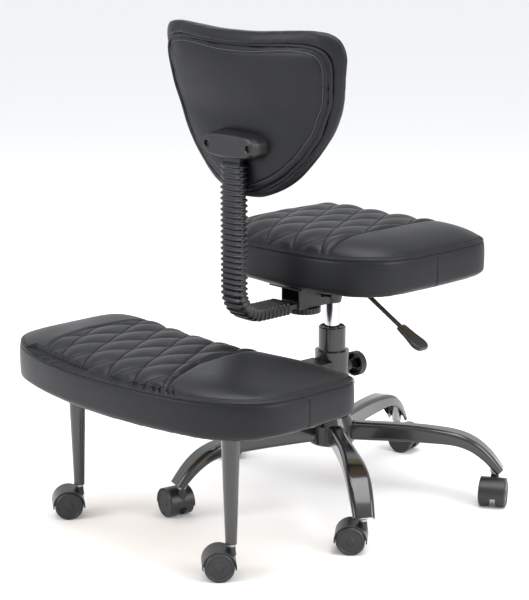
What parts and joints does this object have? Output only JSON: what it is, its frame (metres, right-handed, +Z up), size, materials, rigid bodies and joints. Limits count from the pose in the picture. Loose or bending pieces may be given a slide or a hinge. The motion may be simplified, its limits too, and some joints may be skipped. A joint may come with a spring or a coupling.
{
  "type": "kneeling_chair",
  "caption": "Black armless kneeling chair: swivel seat with a low backrest on a five-star caster base, and a quilted knee pad on two caster legs that swings round the column.",
  "frame": {"origin": "on the column's axis, at the floor under the wheels", "axes": "+Z up along the column; the sitter faces -Y, so the backrest and the knee pad stand toward +Y as pictured; -X is the sitter's right, the lever's side"},
  "size_m": [0.6342, 0.864, 0.873],
  "materials": {
    "base_enamel": "gloss black stove enamel",
    "column_enamel": "satin black enamel",
    "frame_enamel": "satin black powder coat",
    "zinc_steel": "zinc plated",
    "bright_chrome": "polished",
    "black_plastic": "fine satin grain",
    "caster_plastic": "fine satin grain",
    "bellows_rubber": "satin moulded rubber",
    "birch_ply": "raw",
    "black_leather": "soft satin synthetic leather over foam"
  },
  "bodies": {
    "base": {"base_hub": "base_enamel", "base_arm_1": "base_enamel", "base_arm_2": "base_enamel", "base_arm_3": "base_enamel", "base_arm_4": "base_enamel", "base_arm_5": "base_enamel", "stem_sockets": "zinc_steel", "column_tube": "column_enamel", "column_bush": "black_plastic", "thrust_bearing": "zinc_steel"},
    "piston": {"piston_rod": "zinc_steel", "retaining_clip": "zinc_steel"},
    "seat": {"gas_cylinder": "bright_chrome", "mechanism_plate": "frame_enamel", "bar_receiver": "frame_enamel", "seat_bolts": "zinc_steel", "seat_board": "birch_ply", "seat_cushion": "black_leather"},
    "release_pin": {"release_pin": "zinc_steel"},
    "lever": {"lever_rod": "frame_enamel", "lever_grip": "black_plastic"},
    "depth_knob": {"depth_knob": "black_plastic"},
    "back": {"back_bar": "frame_enamel", "bellows": "bellows_rubber", "back_housing": "black_plastic", "housing_screws": "zinc_steel", "back_board": "birch_ply", "back_cushion": "black_leather", "back_panel": "black_leather"},
    "pad": {"pad_sleeve": "column_enamel", "pad_arm": "frame_enamel", "pad_board": "birch_ply", "pad_cushion": "black_leather", "leg_left": "base_enamel", "leg_right": "base_enamel", "pad_bolts": "zinc_steel", "dome_bolt": "zinc_steel", "leg_sockets": "black_plastic"},
    "clamp_knob": {"clamp_knob": "black_plastic"},
    "swivel_1": {"caster_1_hood": "caster_plastic", "caster_1_pins": "zinc_steel"},
    "wheels_1": {"caster_1_wheels": "caster_plastic"},
    "swivel_2": {"caster_2_hood": "caster_plastic", "caster_2_pins": "zinc_steel"},
    "wheels_2": {"caster_2_wheels": "caster_plastic"},
    "swivel_3": {"caster_3_hood": "caster_plastic", "caster_3_pins": "zinc_steel"},
    "wheels_3": {"caster_3_wheels": "caster_plastic"},
    "swivel_4": {"caster_4_hood": "caster_plastic", "caster_4_pins": "zinc_steel"},
    "wheels_4": {"caster_4_wheels": "caster_plastic"},
    "swivel_5": {"caster_5_hood": "caster_plastic", "caster_5_pins": "zinc_steel"},
    "wheels_5": {"caster_5_wheels": "caster_plastic"},
    "swivel_6": {"caster_6_hood": "caster_plastic", "caster_6_pins": "zinc_steel"},
    "wheels_6": {"caster_6_wheels": "caster_plastic"},
    "swivel_7": {"caster_7_hood": "caster_plastic", "caster_7_pins": "zinc_steel"},
    "wheels_7": {"caster_7_wheels": "caster_plastic"}
  },
  "joints": [
    {"name": "seat_swivel", "type": "hinge", "parent": "base", "child": "piston", "pos_m": [0, 0, 0.12], "axis": [0, 0, 1], "continuous": true},
    {"name": "seat_lift", "type": "slide", "parent": "piston", "child": "seat", "axis": [0, 0, 1], "range_m": [-0.012, 0.08]},
    {"name": "lever_lift", "type": "hinge", "parent": "seat", "child": "lever", "pos_m": [-0.022, 0, 0.4045], "axis": [0, 1, 0], "range_deg": [0, 7], "stiffness_Nm_per_rad": 1.2, "springref_deg": -2.86},
    {"name": "release_pin_travel", "type": "slide", "parent": "seat", "child": "release_pin", "axis": [0, 0, -1], "range_m": [0, 0.0027]},
    {"name": "depth_knob_turn", "type": "hinge", "parent": "seat", "child": "depth_knob", "pos_m": [0, 0.072, 0.365], "axis": [0, 0, 1], "range_deg": [0, 360]},
    {"name": "back_depth", "type": "slide", "parent": "seat", "child": "back", "axis": [0, 1, 0], "range_m": [0, 0.03]},
    {"name": "pad_swivel", "type": "hinge", "parent": "base", "child": "pad", "pos_m": [0, 0, 0.2], "axis": [0, 0, 1], "continuous": true},
    {"name": "clamp_knob_turn", "type": "hinge", "parent": "pad", "child": "clamp_knob", "pos_m": [-0.00126, -0.05999, 0.238], "axis": [-0.0209, -0.9998, 0], "range_deg": [0, 360]},
    {"name": "caster_1_swivel", "type": "hinge", "parent": "base", "child": "swivel_1", "pos_m": [0.302, 0, 0.05], "axis": [0, 0, 1], "continuous": true},
    {"name": "caster_1_roll", "type": "hinge", "parent": "swivel_1", "child": "wheels_1", "pos_m": [0.28803, -0.01431, 0.025], "axis": [0.7157, -0.6984, 0], "continuous": true},
    {"name": "caster_2_swivel", "type": "hinge", "parent": "base", "child": "swivel_2", "pos_m": [0.09332, 0.28722, 0.05], "axis": [0, 0, 1], "continuous": true},
    {"name": "caster_2_roll", "type": "hinge", "parent": "swivel_2", "child": "wheels_2", "pos_m": [0.113, 0.28364, 0.025], "axis": [0.1788, 0.9839, 0], "continuous": true},
    {"name": "caster_3_swivel", "type": "hinge", "parent": "base", "child": "swivel_3", "pos_m": [-0.24432, 0.17751, 0.05], "axis": [0, 0, 1], "continuous": true},
    {"name": "caster_3_roll", "type": "hinge", "parent": "swivel_3", "child": "wheels_3", "pos_m": [-0.229, 0.19037, 0.025], "axis": [-0.6428, 0.766, 0], "continuous": true},
    {"name": "caster_4_swivel", "type": "hinge", "parent": "base", "child": "swivel_4", "pos_m": [-0.24432, -0.17751, 0.05], "axis": [0, 0, 1], "continuous": true},
    {"name": "caster_4_roll", "type": "hinge", "parent": "swivel_4", "child": "wheels_4", "pos_m": [-0.25453, -0.16031, 0.025], "axis": [-0.8599, -0.5105, 0], "continuous": true},
    {"name": "caster_5_swivel", "type": "hinge", "parent": "base", "child": "swivel_5", "pos_m": [0.09332, -0.28722, 0.05], "axis": [0, 0, 1], "continuous": true},
    {"name": "caster_5_roll", "type": "hinge", "parent": "swivel_5", "child": "wheels_5", "pos_m": [0.07367, -0.29093, 0.025], "axis": [0.1857, -0.9826, 0], "continuous": true},
    {"name": "caster_6_swivel", "type": "hinge", "parent": "pad", "child": "swivel_6", "pos_m": [0.23112, 0.40925, 0.05], "axis": [0, 0, 1], "continuous": true},
    {"name": "caster_6_roll", "type": "hinge", "parent": "swivel_6", "child": "wheels_6", "pos_m": [0.24259, 0.42563, 0.025], "axis": [-0.8192, 0.5736, 0], "continuous": true},
    {"name": "caster_7_swivel", "type": "hinge", "parent": "pad", "child": "swivel_7", "pos_m": [-0.17379, 0.41773, 0.05], "axis": [0, 0, 1], "continuous": true},
    {"name": "caster_7_roll", "type": "hinge", "parent": "swivel_7", "child": "wheels_7", "pos_m": [-0.16093, 0.43305, 0.025], "axis": [-0.766, 0.6428, 0], "continuous": true}
  ],
  "couplings": [
    {"joint": "release_pin_travel", "follows": "lever_lift", "m_per_rad": 0.022}
  ]
}
